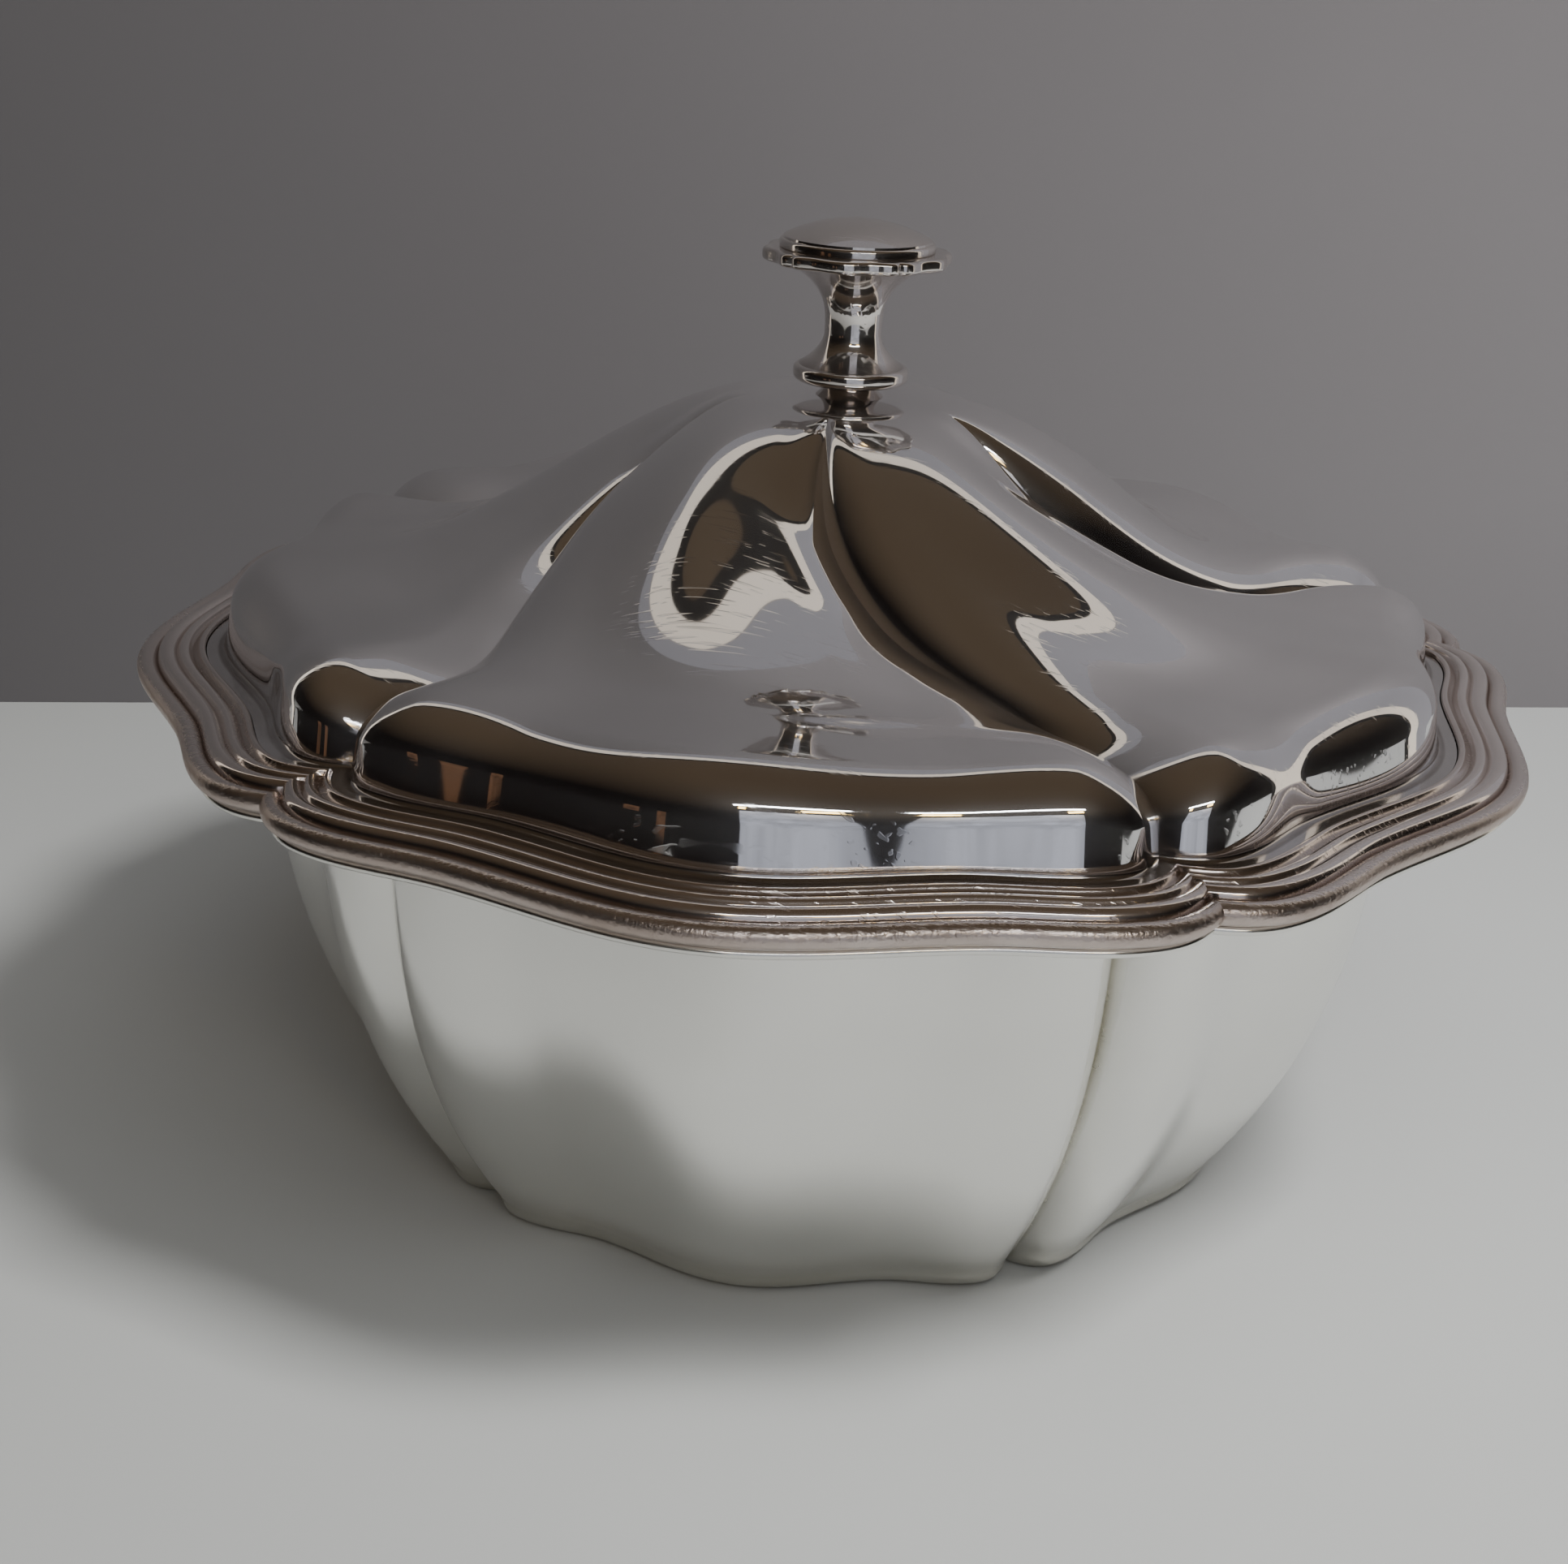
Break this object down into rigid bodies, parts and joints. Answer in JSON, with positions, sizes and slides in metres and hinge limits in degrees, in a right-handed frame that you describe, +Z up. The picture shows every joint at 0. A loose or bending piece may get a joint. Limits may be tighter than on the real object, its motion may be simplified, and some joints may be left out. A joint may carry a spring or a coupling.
{
  "type": "covered sugar bowl",
  "caption": "Lobed silver sugar bowl with a flat flange and a domed, moulded-edge lid that lifts straight off by a spool-shaped finial.",
  "frame": {"origin": "the bowl's axis, in the plane it stands on", "axes": "+Z up along the axis; the middle of one of the five sides faces -Y"},
  "size_m": [0.1392, 0.1416, 0.094],
  "materials": {
    "bowl_silver": "soft polished silver with fine scratches",
    "lid_silver": "mirror polished silver",
    "border_silver": "worn silver, darker in the grooves",
    "finial_silver": "polished silver",
    "fixing_brass": "dull brass"
  },
  "bodies": {
    "bowl": {"bowl_body": "bowl_silver", "bowl_flange": "bowl_silver"},
    "lid": {"lid_body": "lid_silver", "lid_bezel": "bowl_silver", "border_1": "border_silver", "border_2": "border_silver", "border_3": "border_silver", "border_4": "border_silver", "border_5": "border_silver", "finial_foot": "finial_silver", "finial_collar": "finial_silver", "finial_stem": "finial_silver", "finial_plate": "finial_silver", "finial_button": "finial_silver", "finial_stud": "fixing_brass", "finial_washer": "fixing_brass", "finial_nut": "fixing_brass"}
  },
  "joints": [
    {"name": "lid_lift", "type": "slide", "parent": "bowl", "child": "lid", "axis": [0, 0, 1], "range_m": [0, 0.09]}
  ]
}
